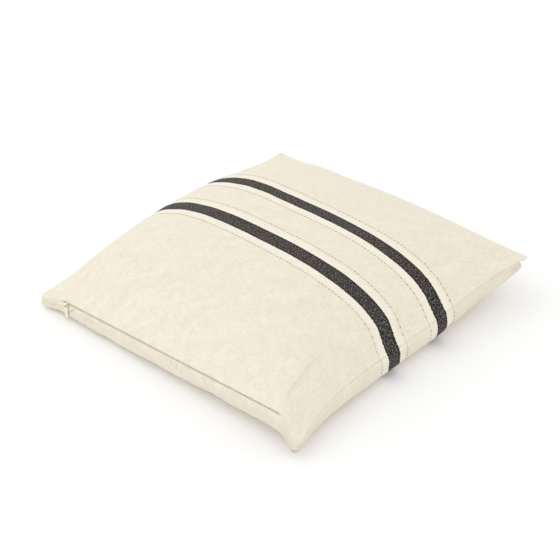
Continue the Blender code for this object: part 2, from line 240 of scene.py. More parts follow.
def relief(s, t, upper):
    """Height of the cloth off its smooth shape, in metres: slack, tension folds and puckers."""
    u, v = s * CLOTH, t * CLOTH
    ef, er, eb, el = edge_distance(s, t)
    nearest = np.minimum(np.minimum(ef, er), np.minimum(eb, el))
    inside = smooth(nearest, 0.0, 0.03)
    h = SLACK * ripples(u, v, SLACK_SIZE, 11 if upper else 12) * inside
    h = h + RUMPLE * ripples(u, v, RUMPLE_SIZE, 21 if upper else 22) * inside
    # folds that fan out from the four corners
    for i, (cs, ct) in enumerate(((-1, -1), (1, -1), (1, 1), (-1, 1))):
        du, dv = (s - cs) * CLOTH * -cs, (t - ct) * CLOTH * -ct
        r = np.hypot(du, dv)
        a = np.arctan2(dv, du)
        fan = np.sin(a * 13 + 1.3 * i + 1.5 * np.sin(r * 31 + i)) * np.exp(-r / CORNER_FADE)
        h = h + CORNER_FOLD * fan * smooth(r, 0.004, 0.03) * smooth(np.minimum(du, dv), 0.0, 0.012)
    # puckers along the seams, deepest under the zip
    edges = (("front", ef, u), ("right", er, v), ("back", eb, u), ("left", el, v))
    for i, (name, e, run) in enumerate(edges):
        warp = run + 0.004 * ripples(run, 0 * run, 0.05, 40 + i)
        fold = ripples(warp, e * 0.15, PUCKER_SIZE, 50 + i + (0 if upper else 10), 14)
        depth, fade, ends = PUCKER[name], PUCKER_FADE[name], 0.04
        if name == "front" and not upper:
            depth, fade, ends = ZIP_PUCKER, ZIP_PUCKER_FADE, 0.11
            fold = np.minimum(fold, 0.1)        # these only dent inwards, so the zip's pull hangs clear
        h = h + (depth * fold * smooth(CLOTH - np.abs(run), 0.0, ends)
                 * np.exp(-e / fade) * smooth(e, 0.0, 0.004))
    # the seam lies in a groove, deeper on the near part of the right edge and almost flat beyond it
    groove = GROOVE + smooth(s, 0.9, 1.0) * (0.0004 - 0.00065 * smooth(t, -0.30, -0.05))
    return h - groove * np.exp(-nearest / 0.0010)


def spaced(n, dense=0.55):
    """Grid lines from -1 to 1, closer together near the seams."""
    u = np.linspace(-1, 1, n)
    return dense * np.sin(u * math.pi / 2) + (1 - dense) * u


def grid_normals(p):
    n = np.cross(np.gradient(p, axis=0), np.gradient(p, axis=1))
    return n / np.maximum(np.linalg.norm(n, axis=-1, keepdims=True), 1e-12)


# ---- meshes -------------------------------------------------------------------------------------
def add_piece(name, verts, faces, uvs=None):
    """A mesh object; uvs holds named maps, each with one (u, v) to a corner, in face order."""
    mesh = bpy.data.meshes.new(name)
    mesh.from_pydata(np.asarray(verts).tolist(), [], [list(map(int, f)) for f in faces])
    for key, values in (uvs or {}).items():
        mesh.uv_layers.new(name=key).data.foreach_set("uv", np.asarray(values, np.float32).ravel())
    mesh.polygons.foreach_set("use_smooth", np.ones(len(mesh.polygons), bool))
    mesh.update()
    obj = bpy.data.objects.new(name, mesh)
    bpy.context.scene.collection.objects.link(obj)
    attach(obj, "cushion")
    return obj


def quads(index):
    return np.stack([index[:-1, :-1], index[1:, :-1], index[1:, 1:], index[:-1, 1:]], -1).reshape(-1, 4)


def sheet(name, face, thickness, upper, cloth=None):
    """Closed sheet from a grid of points on its face, thickened away from it.

    cloth is the grid's cloth coordinates, 0 to 1, for the pattern. The face takes most of the bake map.
    """
    n, m = face.shape[:2]
    grain = grid_normals(face) * (1 if upper else -1)
    verts = np.concatenate([face.reshape(-1, 3), (face - grain * thickness).reshape(-1, 3)])
    index = np.arange(n * m).reshape(n, m)
    ring = np.concatenate([index[:-1, 0], index[-1, :-1], index[:0:-1, -1], index[0, :0:-1]])
    ahead = np.roll(ring, -1)
    rim = np.stack([ring + n * m, ahead + n * m, ahead, ring], -1)
    faces = np.concatenate([quads(index), quads(index)[:, ::-1] + n * m, rim])
    if not upper:
        faces = faces[:, ::-1]
    if cloth is None:
        cloth = np.stack(np.meshgrid(np.linspace(0, 1, n), np.linspace(0, 1, m), indexing="ij"), -1)
    flat = np.concatenate([cloth.reshape(-1, 2)] * 2)
    bake = flat.copy()
    bake[:n * m, 1] = 0.12 + 0.88 * bake[:n * m, 1]
    bake[n * m:, 1] = 0.10 * bake[n * m:, 1]
    lining = bake.copy()
    lining[:n * m] = lining[n * m:]
    at_rim = np.arange(len(faces)) >= len(faces) - len(rim)
    corners = np.where(at_rim[:, None, None], lining[faces], bake[faces])
    return add_piece(name, verts, faces, {"OFBake": corners, "cloth": flat[faces]})


def tube(points, radius, sides=6, flat=1.0, up=None):
    """Vertices and faces of a capped tube through points; flat squashes it along up."""
    p = np.asarray(points, float)
    ahead = np.gradient(p, axis=0)
    ahead /= np.maximum(np.linalg.norm(ahead, axis=1, keepdims=True), 1e-12)
    up = np.array([0.0, 0.0, 1.0]) if up is None else np.asarray(up, float)
    side = np.cross(ahead, up)
    side /= np.maximum(np.linalg.norm(side, axis=1, keepdims=True), 1e-12)
    above = np.cross(side, ahead)
    radius = np.broadcast_to(radius, len(p))
    a = np.arange(sides) * 2 * math.pi / sides
    ring = (side[:, None] * np.cos(a)[None, :, None] + flat * above[:, None] * np.sin(a)[None, :, None])
    verts = (p[:, None] + ring * radius[:, None, None]).reshape(-1, 3)
    index = np.arange(len(p) * sides).reshape(len(p), sides)
    closed = np.concatenate([index, index[:, :1]], 1)
    walls = quads(closed)[:, ::-1].tolist()
    return verts, walls + [index[0].tolist(), index[-1][::-1].tolist()]


def bundle(name, tubes):
    """One piece made of many separate tubes."""
    verts, faces, start = [], [], 0
    for v, f in tubes:
        verts.append(v)
        faces += [[i + start for i in face] for face in f]
        start += len(v)
    return add_piece(name, np.concatenate(verts), faces)


class Surface:
    """Finished outer face of a panel, to lay other pieces on."""

    def __init__(self, points, upper):
        self.points = points
        self.normals = grid_normals(points) * (1 if upper else -1)
        self.lines = spaced(len(points))

    def sample(self, field, s, t):
        n = len(self.lines)
        a, b = (np.interp(c, self.lines, np.arange(n)) for c in (s, t))
        i, j = np.clip(a.astype(int), 0, n - 2), np.clip(b.astype(int), 0, n - 2)
        fa, fb = (a - i)[..., None], (b - j)[..., None]
        return (field[i, j] * (1 - fa) * (1 - fb) + field[i + 1, j] * fa * (1 - fb)
                + field[i, j + 1] * (1 - fa) * fb + field[i + 1, j + 1] * fa * fb)

    def at(self, s, t, lift=0.0):
        s, t = np.broadcast_arrays(np.asarray(s, float), np.asarray(t, float))
        return self.sample(self.points, s, t) + lift * self.sample(self.normals, s, t)


# ---- cloth simulation of the cover --------------------------------------------------------------
SIM_GRID = 96
SIM_FRAMES = 16
SIM_SLACK = -0.018          # the cloth is cut a little larger than the smooth shape
SIM_PRESSURE = 0.9
SIM_CAP = 0.0026            # furthest that the cloth may move off the smooth shape
SIM_UNDER = 0.4             # share of the folds that the underside takes


def relaxed_offsets(n):
    """Lets the whole cover relax as pressurised cloth; returns the folds that each panel takes."""
    s, t = np.meshgrid(spaced(n), spaced(n), indexing="ij")
    shapes = [front_shape(s, t), back_shape(s, t)]
    index = [np.arange(n * n).reshape(n, n), np.zeros((n, n), int)]
    sewn = np.zeros((n, n), bool)
    sewn[0, :] = sewn[-1, :] = sewn[:, -1] = True
    index[1][sewn] = index[0][sewn]
    index[1][~sewn] = n * n + np.arange((~sewn).sum())
    verts = np.concatenate([shapes[0].reshape(-1, 3), shapes[1][~sewn]])
    verts[index[0][sewn]] = (shapes[0][sewn] + shapes[1][sewn]) / 2
    mesh = bpy.data.meshes.new("cover_sim")
    mesh.from_pydata(verts.tolist(), [], quads(index[0]).tolist() + quads(index[1])[:, ::-1].tolist())
    obj = bpy.data.objects.new("cover_sim", mesh)
    bpy.context.scene.collection.objects.link(obj)
    held = set(index[0][:, 0]) | set(index[1][:, 0]) | set(np.nonzero(verts[:, 2] < 0.003)[0])
    obj.vertex_groups.new(name="held").add([int(i) for i in sorted(held)], 1.0, "REPLACE")
    cloth = obj.modifiers.new("cloth", "CLOTH")
    settings = cloth.settings
    settings.quality = 7
    settings.mass = 0.05
    settings.tension_stiffness = settings.compression_stiffness = 30
    settings.shear_stiffness = 8
    settings.bending_stiffness = 0.15
    settings.tension_damping = settings.compression_damping = 12
    settings.vertex_group_mass = "held"
    settings.shrink_min = SIM_SLACK
    settings.use_pressure = True
    settings.uniform_pressure_force = SIM_PRESSURE
    settings.effector_weights.gravity = 0.0
    cloth.collision_settings.use_collision = False
    cloth.collision_settings.use_self_collision = False
    for step in range(1, SIM_FRAMES + 1):
        bpy.context.scene.frame_set(step)
    done = obj.evaluated_get(bpy.context.evaluated_depsgraph_get()).to_mesh()
    moved = np.zeros(len(verts) * 3)
    done.vertices.foreach_get("co", moved)
    moved = moved.reshape(-1, 3) - verts
    bpy.context.scene.frame_set(1)
    bpy.data.objects.remove(obj, do_unlink=True)
    folds = []
    for i in index:
        field = moved[i]
        swell = field
        for _ in range(30):
            swell = (np.roll(swell, 1, 0) + np.roll(swell, -1, 0) + np.roll(swell, 1, 1)
                     + np.roll(swell, -1, 1) + 2 * swell) / 6
        field = field - swell
        edge = smooth(np.minimum.reduce(edge_distance(s, t)), 0.004, 0.03)
        length = np.linalg.norm(field, axis=-1, keepdims=True)
        capped = SIM_CAP * np.tanh(length / SIM_CAP) / np.maximum(length, 1e-9)
        folds.append(field * edge[..., None] * capped)
    print("cloth folds, mm: mean %.2f, max %.2f" % (
        1000 * np.mean([np.linalg.norm(f, axis=-1).mean() for f in folds]),
        1000 * max(np.linalg.norm(f, axis=-1).max() for f in folds)))
    return folds


def resample(field, n, m):
    """A grid field from n to m lines a side."""
    a, b = spaced(n), spaced(m)
    half = np.stack([[np.interp(b, a, field[:, j, c]) for j in range(n)] for c in range(3)], -1)
    half = half.transpose(1, 0, 2)
    return np.stack([[np.interp(b, a, half[i, :, c]) for i in range(m)] for c in range(3)], -1)


def panel_surface(upper, n, folds):
    s, t = np.meshgrid(spaced(n), spaced(n), indexing="ij")
    p = (front_shape if upper else back_shape)(s, t)
    if folds is not None:
        p = p + resample(folds, SIM_GRID, n) * (1.0 if upper else SIM_UNDER)
    p = p + grid_normals(p) * (1 if upper else -1) * relief(s, t, upper)[..., None]
    if not upper:
        p[..., 1] = np.maximum(p[..., 1], PULL_Y - 0.02 * past_zip(s))
        p[..., 2] = np.maximum(p[..., 2], FLOOR_GAP)
    return Surface(p, upper)


# ---- the cover ----------------------------------------------------------------------------------
GRID = 200
lines = (spaced(GRID) + 1) / 2
CLOTH_UV = np.stack(np.meshgrid(lines, lines, indexing="ij"), -1)
cover_folds = relaxed_offsets(SIM_GRID)
pieces = {}
faces_of = {}
for side, upper in (("front", True), ("back", False)):
    faces_of[side] = panel_surface(upper, GRID, cover_folds[0 if upper else 1])
    cloth = sheet(f"cover_{side}_cloth", faces_of[side].points, LINEN_T, upper, CLOTH_UV)
    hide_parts(f"cover_{side}_panel")
    pieces[f"cover_{side}"] = cloth

# the panels' edges, folded back inside along the zip and lying on its tapes
HEM_T = 0.00022
HEM_X = (-0.2035, 0.2020)
# (distance in from the zip, distance off its middle) from the lip inwards
HEM_ROUTE = ((-0.0098, 0.00092), (-0.0088, 0.00084), (-0.0064, 0.00088), (-0.0048, 0.0024),
             (-0.0040, 0.0044), (0.0030, 0.0046), (0.0050, 0.0030), (0.0062, 0.0024), (0.0128, 0.0023))
reach = np.linspace(*HEM_X, 120)
for side, sign in (("front", 1), ("back", -1)):
    route = np.array(HEM_ROUTE)
    wave = 0.00015 * ripples(reach, 0 * reach, 0.012, 71 if sign > 0 else 72)
    face = np.stack([np.stack([reach, np.full_like(reach, ZIP_Y + y),
                               ZIP_Z + ZIP_SLOPE * reach + sign * (z + np.abs(wave) * (y > 0.004))], -1)
                     for y, z in route], 1)
    hem = sheet(f"zip_hem_{side}", face, HEM_T, sign < 0)
    pieces[f"hem_{side}"] = hem

# pick threads: a dark yarn that comes up in short dashes beside the bands
DASH_PITCH, DASH_LONG, DASH_R = 0.0064, 0.0029, 0.00050
rng = np.random.RandomState(5)
for side in ("front", "back"):
    dashes = []
    for line in PICK_LINES:
        centres = np.arange(-CLOTH + 0.006, CLOTH - 0.005, DASH_PITCH)
        centres = centres + rng.uniform(-0.0009, 0.0009, len(centres))
        for centre in centres:
            long = DASH_LONG * rng.uniform(0.55, 1.2)
            at = np.linspace(-0.5, 0.5, 5)
            stray = line + rng.uniform(-2, 2) * 1e-4
            panel = faces_of[side]
            path = panel.at((centre + at * long) / CLOTH, np.full(5, stray) / CLOTH)
            normal = panel.sample(panel.normals, np.array(centre / CLOTH), np.array(line / CLOTH))
            path = path + normal * (0.00022 * (1 - (2 * at) ** 2) - 0.00012)[:, None]
            path[:, 2] = np.maximum(path[:, 2], DASH_R * 0.7)
            girth = DASH_R * rng.uniform(0.75, 1.1) * np.sqrt(np.clip(1.05 - (2 * at) ** 2, 0.05, 1))
            dashes.append(tube(path, girth, 6, 0.6, normal))
    threads = bundle(f"pick_threads_{side}", dashes)
    pieces[f"picks_{side}"] = threads

# seam allowance of the three sewn edges, inside the cover, with its overlock stitches
ALLOWANCE = (0.0012, 0.0090)        # from and to, inwards from the seam
ALLOWANCE_T = 0.0008
OVERLOCK_PITCH, OVERLOCK_WIDE, OVERLOCK_HIGH, OVERLOCK_R = 0.0030, 0.0022, 0.00075, 0.00016
steps = np.linspace(0, 1, 70)
EDGE_PATHS = {"left": lambda u: (-1 + 0 * u, -0.93 + 1.88 * u),
              "back": lambda u: (-0.95 + 1.9 * u, 1 + 0 * u),
              "right": lambda u: (1 + 0 * u, 0.95 - 1.88 * u)}


def inside_seam(s, t, e, lift=0.0):
    """A point e metres in from the seam at (s, t), midway between the panels, then lifted by lift."""
    near = 0.992
    out = sum(face.sample(face.normals, s * near, t * near) for face in faces_of.values())
    out /= np.maximum(np.linalg.norm(out, axis=-1, keepdims=True), 1e-9)
    seam = (faces_of["front"].at(s, t) + faces_of["back"].at(s, t)) / 2
    up = faces_of["front"].sample(faces_of["front"].normals, s * near, t * near)
    up = up - out * np.sum(up * out, -1, keepdims=True)
    up /= np.maximum(np.linalg.norm(up, axis=-1, keepdims=True), 1e-9)
    return seam - out * np.asarray(e)[..., None] + up * np.asarray(lift)[..., None]


overlock = []
for name, path in EDGE_PATHS.items():
    u, e = np.meshgrid(steps, np.linspace(*ALLOWANCE, 7), indexing="ij")
    face = inside_seam(*path(u), e, ALLOWANCE_T / 2)
    strip = sheet(f"seam_allowance_{name}", face, ALLOWANCE_T, name != "back")
    pieces[f"allowance_{name}"] = strip
    stitches = int(2 * CLOTH * 0.94 / OVERLOCK_PITCH)
    k = np.arange(stitches * 6 + 1)
    turn = k * math.pi / 3
    e = ALLOWANCE[1] - 0.0019 + OVERLOCK_WIDE * np.cos(turn)
    route = inside_seam(*path(k / k[-1]), e, OVERLOCK_HIGH * np.sin(turn))
    overlock.append(tube(route, OVERLOCK_R, 5))
overlock = bundle("side_seam_overlock", overlock)
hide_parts("side_seam_thread")
pieces["overlock"] = overlock


# ---- the insert ---------------------------------------------------------------------------------
INSERT_X = 0.213                               # about half of its width
INSERT_REACH = (-0.91, 0.92, -0.87, 0.91)      # in the cover's s and t: s low, s high, t low, t high
INSERT_FILL = 0.955                            # share of the cover's thickness
CASING_T = 0.0004


def insert_shape(s, t, upper, fill=INSERT_FILL, inward=0.0):
    s0, s1, t0, t1 = INSERT_REACH
    s_in = (s0 + s1) / 2 + (s1 - s0) / 2 * s * (1 - inward)
    t_in = (t0 + t1) / 2 + (t1 - t0) / 2 * t * (1 - inward)
    top, low = front_shape(s_in, t_in), back_shape(s_in, t_in)
    middle = (top + low) / 2
    edge = np.sqrt(np.clip((1 - np.abs(s) ** 5) * (1 - np.abs(t) ** 5), 0, 1))
    return middle + ((top if upper else low) - middle) * (fill * edge)[..., None]


def insert_relief(s, t, seed):
    u, v = s * INSERT_X, t * INSERT_X
    e = np.minimum(1 - np.abs(s), 1 - np.abs(t)) * INSERT_X
    run = np.where(np.abs(s) > np.abs(t), v, u)
    pucker = ripples(run, e * 0.2, 0.008, seed + 3, 12) * np.exp(-e / 0.016) * smooth(e, 0, 0.004)
    return -0.0006 + 0.0010 * pucker + 0.0005 * ripples(u, v, 0.045, seed) * smooth(e, 0, 0.03)


def insert_surface(n, upper, seed, depth=1.0, **shape):
    s, t = np.meshgrid(spaced(n), spaced(n), indexing="ij")
    p = insert_shape(s, t, upper, **shape)
    away = grid_normals(p) * (1 if upper else -1)
    return Surface(p + away * (depth * insert_relief(s, t, seed))[..., None] * smooth(
        np.minimum(1 - np.abs(s), 1 - np.abs(t)), 0, 0.04)[..., None], upper)


INSERT_GRID = 90
casing = {}
for side, upper in (("front", True), ("back", False)):
    casing[side] = insert_surface(INSERT_GRID, upper, 81 if upper else 85)
    cloth = sheet(f"insert_{side}_cloth", casing[side].points, CASING_T, upper)
    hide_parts(f"insert_casing_{side}")
    pieces[f"insert_{side}"] = cloth

# filling: one loose mass with a lumpy surface
FILL_GRID = 70
LUMP, LUMP_SIZE = 0.0012, 0.020
fill_faces = [insert_surface(FILL_GRID, upper, 91 if upper else 95, 1.2, fill=INSERT_FILL - 0.06,
                             inward=0.05).points for upper in (True, False)]
lump_s, lump_t = np.meshgrid(spaced(FILL_GRID), spaced(FILL_GRID), indexing="ij")
away_from_edge = smooth(np.minimum(1 - np.abs(lump_s), 1 - np.abs(lump_t)), 0, 0.08)
for points, inwards, seed in ((fill_faces[0], -1, 97), (fill_faces[1], 1, 98)):
    lumps = 1 + ripples(lump_s * 0.2, lump_t * 0.2, LUMP_SIZE, seed)
    points[..., 2] += inwards * LUMP * lumps * away_from_edge
index = np.arange(FILL_GRID ** 2).reshape(FILL_GRID, FILL_GRID)
lower = index + FILL_GRID ** 2
rim = np.concatenate([index[:-1, 0], index[-1, :-1], index[:0:-1, -1], index[0, :0:-1]])
rim_next = np.roll(rim, -1)
wall = np.stack([rim + FILL_GRID ** 2, rim_next + FILL_GRID ** 2, rim_next, rim], -1)
filling = add_piece("insert_fibre", np.concatenate([f.reshape(-1, 3) for f in fill_faces]),
                    np.concatenate([quads(index), quads(lower)[:, ::-1], wall]))
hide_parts("insert_filling")
pieces["filling"] = filling

# stitches that close the insert, one by one round its edge
STITCH_PITCH, STITCH_LONG, STITCH_HIGH, STITCH_R = 0.0034, 0.0026, 0.0005, 0.00022
stitches = []
for name, path in {"front": lambda u: (u, -1 + 0 * u), "right": lambda u: (1 + 0 * u, u),
                   "back": lambda u: (-u, 1 + 0 * u), "left": lambda u: (-1 + 0 * u, -u)}.items():
    for centre in np.arange(-0.985, 0.986, STITCH_PITCH / INSERT_X):
        u = centre + np.linspace(-0.5, 0.5, 5) * STITCH_LONG / INSERT_X
        s, t = path(u)
        run = insert_shape(s, t, True)
        out = run - np.array([0, 0, run[:, 2].mean()])
        out = out / np.linalg.norm(out[:, :2], axis=1, keepdims=True) * np.array([1, 1, 0])
        run = run + out * CASING_T
        run = run + np.array([0, 0, STITCH_HIGH]) * (1 - np.linspace(-1, 1, 5) ** 2)[:, None]
        stitches.append(tube(run, STITCH_R, 5))
stitches = bundle("insert_seam_stitches", stitches)
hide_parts("insert_seam_thread")
pieces["insert_stitches"] = stitches


# ---- the two blank labels -----------------------------------------------------------------------
LABEL_T = 0.0003
CARE_Y, CARE_HALF, CARE_LONG = 0.060, 0.011, 0.0105
INSERT_LABEL_LONG = 0.0068
across, out = np.meshgrid(np.linspace(-1, 1, 24), np.linspace(0, 1, 14), indexing="ij")
# the care label is caught in the right seam and hangs free inside the cover
care_t = (CARE_Y + CARE_HALF * across) / CLOTH
curl = 0.0006 * np.sin(3 * across) * out ** 2 + 0.0004 * out
face = inside_seam(1 + 0 * care_t, care_t, 0.0014 + CARE_LONG * out, 0.00135 + curl)
label = sheet("care_label_ribbon", face, LABEL_T, True)
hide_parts("care_label")
pieces["label_care"] = label
# the insert's own label stands out from its left seam
place = insert_shape(-1 + 0 * across, 0.30 + 0.050 * across, True)
curl = 0.0004 * np.sin(2.5 * across + 1) * out
face = place + np.stack([-INSERT_LABEL_LONG * out, 0 * out, curl], -1)
label = sheet("insert_label_ribbon", face, LABEL_T, False)
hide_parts("insert_label")
pieces["label_insert"] = label


# ---- materials ----------------------------------------------------------------------------------
class Graph:
    """A node material being built round one Principled shader."""

    def __init__(self, name, **constants):
        self.mat = bpy.data.materials.new(name)
        self.mat.use_nodes = True
        self.tree = self.mat.node_tree
        self.shader = self.tree.nodes["Principled BSDF"]
        for key, value in constants.items():
            self.shader.inputs[key.replace("_", " ")].default_value = value

    def add(self, kind, **values):
        node = self.tree.nodes.new(kind)
        for key, value in values.items():
            setattr(node, key, value)
        return node

    def put(self, target, value):
        if isinstance(value, bpy.types.NodeSocket):
            self.tree.links.new(value, target)
        else:
            target.default_value = value

    def math(self, op, a, b=0.0, c=0.0, clamp=False):
        node = self.add("ShaderNodeMath", operation=op, use_clamp=clamp)
        for socket, value in zip(node.inputs, (a, b, c)):
            self.put(socket, value)
        return node.outputs[0]

    def ramp(self, value, low, high):
        node = self.add("ShaderNodeMapRange", interpolation_type="SMOOTHSTEP", clamp=True)
        for socket, v in zip(node.inputs[:5], (value, low, high, 0.0, 1.0)):
            self.put(socket, v)
        return node.outputs[0]

    def mix(self, factor, a, b):
        node = self.add("ShaderNodeMix", data_type="RGBA")
        for i, value in ((0, factor), (6, a), (7, b)):
            self.put(node.inputs[i], value)
        return node.outputs[2]

    def noise(self, vector, scale, detail=2.0, rough=0.5):
        node = self.add("ShaderNodeTexNoise")
        self.put(node.inputs["Vector"], vector)
        for key, value in (("Scale", scale), ("Detail", detail), ("Roughness", rough)):
            node.inputs[key].default_value = value
        return node.outputs[0]

    def stretched(self, u, v, across, down, shift=0.0, **noise):
        """Noise with its own scale each way, in cycles a millimetre."""
        place = self.combine(self.math("MULTIPLY", u, across), self.math("MULTIPLY", v, down), shift)
        return self.noise(place, 1.0, **noise)

    def combine(self, x, y, z=0.0):
        node = self.add("ShaderNodeCombineXYZ")
        for socket, value in zip(node.inputs, (x, y, z)):
            self.put(socket, value)
        return node.outputs[0]

    def split(self, vector, scale=1.0):
        node = self.add("ShaderNodeSeparateXYZ")
        self.tree.links.new(vector, node.inputs[0])
        return [self.math("MULTIPLY", out, scale) for out in node.outputs]

    def object_mm(self):
        return self.split(self.add("ShaderNodeTexCoord").outputs["Object"], 1000.0)

    def cloth_mm(self):
        """Cloth coordinates in millimetres from the middle of the panel."""
        u, v, _ = self.split(self.add("ShaderNodeUVMap", uv_map="cloth").outputs[0], 2000 * CLOTH)
        return self.math("SUBTRACT", u, 1000 * CLOTH), self.math("SUBTRACT", v, 1000 * CLOTH)

    def weave(self, u, v, pitch):
        """Height of a plain weave of threads at a pitch, 0 to 1."""
        a = self.math("SINE", self.math("MULTIPLY", u, math.pi / pitch))
        b = self.math("SINE", self.math("MULTIPLY", v, math.pi / pitch))
        over = self.math("MULTIPLY", self.math("MULTIPLY", a, b), 0.5)
        warp = self.math("MULTIPLY", self.math("ABSOLUTE", a), self.math("ADD", 0.5, over))
        weft = self.math("MULTIPLY", self.math("ABSOLUTE", b), self.math("SUBTRACT", 0.5, over))
        return self.math("MAXIMUM", warp, weft)

    def bump(self, height, distance, strength=1.0):
        node = self.add("ShaderNodeBump")
        node.inputs["Distance"].default_value = distance
        node.inputs["Strength"].default_value = strength
        self.put(node.inputs["Height"], height)
        self.tree.links.new(node.outputs[0], self.shader.inputs["Normal"])

    def colour(self, value):
        self.put(self.shader.inputs["Base Color"], value)


def rgb(r, g, b):
    """An sRGB colour, 0 to 255, as linear values."""
    def lin(c):
        c = c / 255
        return c / 12.92 if c <= 0.04045 else ((c + 0.055) / 1.055) ** 2.4
    return (lin(r), lin(g), lin(b), 1.0)


YARN_PITCH = 1.25           # millimetres from one yarn of the linen to the next


def linen_yarns(g, u, v):
    """Height of the woven yarns, and the tone of each yarn along its run."""
    wander = g.math("SUBTRACT", g.stretched(u, v, 0.035, 0.035, detail=1.0), 0.5)
    weft_tone = g.stretched(u, v, 0.07, 1.1, 0.0)
    warp_tone = g.stretched(u, v, 1.1, 0.07, 7.0)
    bent_u = g.math("MULTIPLY_ADD", wander, 9.0, u)
    bent_v = g.math("MULTIPLY_ADD", wander, -9.0, v)
    tone = g.math("SUBTRACT", g.math("ADD", weft_tone, warp_tone), 1.0)
    return g.math("MULTIPLY_ADD", tone, 0.9, g.weave(bent_u, bent_v, YARN_PITCH)), tone


def striped_linen():
    g = Graph("striped_linen", Roughness=0.92, Specular_IOR_Level=0.15, Sheen_Weight=0.10,
              Sheen_Roughness=0.5)
    u, v = g.cloth_mm()
    height, tone = linen_yarns(g, u, v)
    slub = g.ramp(g.math("MAXIMUM", g.stretched(u, v, 0.055, 0.75, 3.0, detail=3.0),
                         g.stretched(u, v, 0.75, 0.055, 5.0, detail=3.0)), 0.60, 0.74)
    cloud = g.math("SUBTRACT", g.noise(g.combine(u, v, 3.0), 0.045, 3.0), 0.5)
    level = g.math("MULTIPLY_ADD", cloud, 0.35, g.math("MULTIPLY_ADD", tone, 1.0, 0.55), clamp=True)
    cream = g.mix(level, rgb(232, 223, 202), rgb(251, 244, 226))
    cream = g.mix(g.math("MULTIPLY", slub, 0.55), cream, rgb(252, 247, 233))
    # painted shade in the gaps between the yarns, and here and there a fleck of bark
    painted_gap_shade = g.math("MULTIPLY", g.math("SUBTRACT", 1.0, g.ramp(height, 0.05, 0.45)), 0.30)
    cream = g.mix(painted_gap_shade, cream, rgb(206, 196, 172))
    fleck = g.ramp(g.stretched(u, v, 0.35, 0.9, 13.0, detail=3.0, rough=0.6), 0.74, 0.80)
    cream = g.mix(g.math("MULTIPLY", fleck, 0.5), cream, rgb(176, 158, 124))
    # the two bands: their edge follows the yarns in small steps
    steps = g.math("SUBTRACT", g.stretched(u, 0.0, 0.42, 0.0, detail=2.0), 0.5)
    wavy = g.math("MULTIPLY_ADD", steps, 3.6, v)
    band = halo = rim = 0.0
    for low, high in BANDS:
        middle, half = (low + high) * 500, (high - low) * 500
        d = g.math("SUBTRACT", g.math("ABSOLUTE", g.math("SUBTRACT", wavy, middle)), half)
        from_rim = g.math("ABSOLUTE", g.math("ADD", d, 1.2))
        band = g.math("MAXIMUM", band, g.math("SUBTRACT", 1.0, g.ramp(d, -0.35, 0.35)))
        rim = g.math("MAXIMUM", rim, g.math("SUBTRACT", 1.0, g.ramp(from_rim, 1.0, 2.2)))
        halo = g.math("MAXIMUM", halo, g.math("SUBTRACT", 1.0, g.ramp(d, 7.0, 15.0)))
    cream = g.mix(g.math("MULTIPLY", halo, 0.38), cream, rgb(255, 250, 236))
    # the pick lines' yarn shows through faintly between its dashes
    pick = 0.0
    for line in PICK_LINES:
        d = g.math("ABSOLUTE", g.math("SUBTRACT", v, line * 1000))
        pick = g.math("MAXIMUM", pick, g.math("SUBTRACT", 1.0, g.ramp(d, 0.25, 0.85)))
    cream = g.mix(g.math("MULTIPLY", pick, 0.33), cream, rgb(150, 140, 122))
    speck = g.stretched(u, v, 0.42, 0.75, 11.0, detail=2.0, rough=0.6)
    dark = g.mix(g.ramp(speck, 0.51, 0.63), rgb(31, 27, 25), rgb(140, 133, 124))
    dark = g.mix(g.math("MULTIPLY", rim, 0.6), dark, rgb(32, 27, 25))
    # painted shade in the gaps between the yarns of the bands too
    dark = g.mix(g.math("MULTIPLY", painted_gap_shade, 0.7), dark, rgb(30, 27, 25))
    g.colour(g.mix(band, cream, dark))
    g.bump(g.math("MULTIPLY_ADD", slub, 0.5, height), 0.00045, 0.8)
    return g.mat


def yarn(name, light, dark, pitch=0.5):
    """Twisted thread."""
    g = Graph(name, Roughness=0.85, Specular_IOR_Level=0.2, Sheen_Weight=0.15)
    x, y, z = g.object_mm()
    along_run = g.math("ADD", g.math("ADD", x, y), g.math("MULTIPLY", z, 2.0))
    twist = g.math("SINE", g.math("MULTIPLY", along_run, 2 * math.pi / pitch))
    fuzz = g.noise(g.combine(x, y, z), 1.7, 3.0)
    g.colour(g.mix(g.math("MULTIPLY_ADD", twist, 0.2, fuzz, clamp=True), dark, light))
    g.bump(g.math("ADD", twist, fuzz), 0.00006, 0.7)
    return g.mat


def tape(name, light, dark, pitch):
    """Woven tape: ribs along X with a herringbone lean."""
    g = Graph(name, Roughness=0.8, Specular_IOR_Level=0.25, Sheen_Weight=0.1)
    x, y, z = g.object_mm()
    across = g.math("ADD", y, z)
    lean = g.math("PINGPONG", across, 2.0)
    rib = g.math("SINE", g.math("MULTIPLY", g.math("MULTIPLY_ADD", lean, 0.6, x), 2 * math.pi / pitch))
    rows = g.math("SINE", g.math("MULTIPLY", across, 2 * math.pi / (pitch * 1.3)))
    height = g.math("MULTIPLY_ADD", rows, 0.5, rib)
    cloud = g.noise(g.combine(x, y, z), 0.4, 3.0)
    g.colour(g.mix(g.math("MULTIPLY_ADD", height, 0.22, cloud, clamp=True), dark, light))
    g.bump(height, 0.0001, 0.6)
    return g.mat


def moulded(name, light, dark, rough):
    """Nylon: smooth, faintly mottled."""
    g = Graph(name, Roughness=rough, Specular_IOR_Level=0.45, Subsurface_Weight=0.1, Subsurface_Scale=0.002)
    x, y, z = g.object_mm()
    cloud = g.noise(g.combine(x, y, z), 0.9, 4.0)
    g.colour(g.mix(cloud, dark, light))
    g.put(g.shader.inputs["Roughness"], g.math("MULTIPLY_ADD", cloud, 0.25, rough - 0.12))
    g.bump(g.noise(g.combine(x, y, z), 4.0, 2.0), 0.00003, 0.5)
    return g.mat


